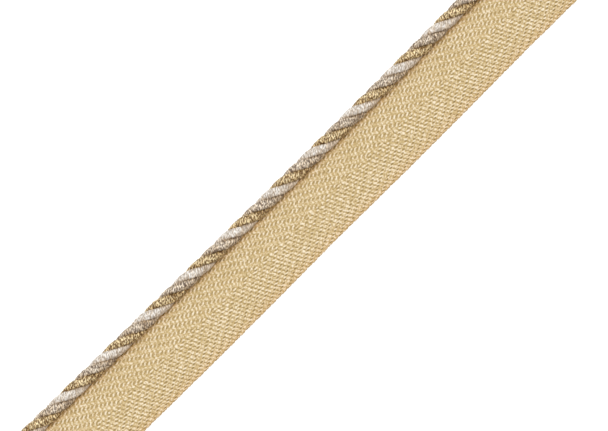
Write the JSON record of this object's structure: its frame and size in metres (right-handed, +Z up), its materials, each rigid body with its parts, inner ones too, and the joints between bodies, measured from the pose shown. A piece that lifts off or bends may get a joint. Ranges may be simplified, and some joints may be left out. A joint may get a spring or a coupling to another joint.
{
  "type": "flanged cord trim",
  "caption": "Straight cut length of flanged cord trim: a twisted cord in gold, taupe and white on the edge of a flat herringbone tape, for sewing into seams and edges.",
  "frame": {"origin": "middle of the underside of the whole trim: on the surface it lies on, halfway along and across", "axes": "+X along the trim, +Y from the tape's free edge to the cord, +Z up from the surface the tape lies on"},
  "size_m": [0.2, 0.0208, 0.0052],
  "materials": {
    "tape_weave": "matte, slightly lustrous herringbone weave",
    "gold_thread": "lustrous bronze-gold thread",
    "taupe_thread": "satin grey-beige thread with gold in it",
    "white_thread": "satin silver-white thread"
  },
  "bodies": {
    "root": {"tape": "tape_weave", "ply_gold": "gold_thread", "ply_taupe": "taupe_thread", "ply_white": "white_thread"}
  },
  "joints": []
}
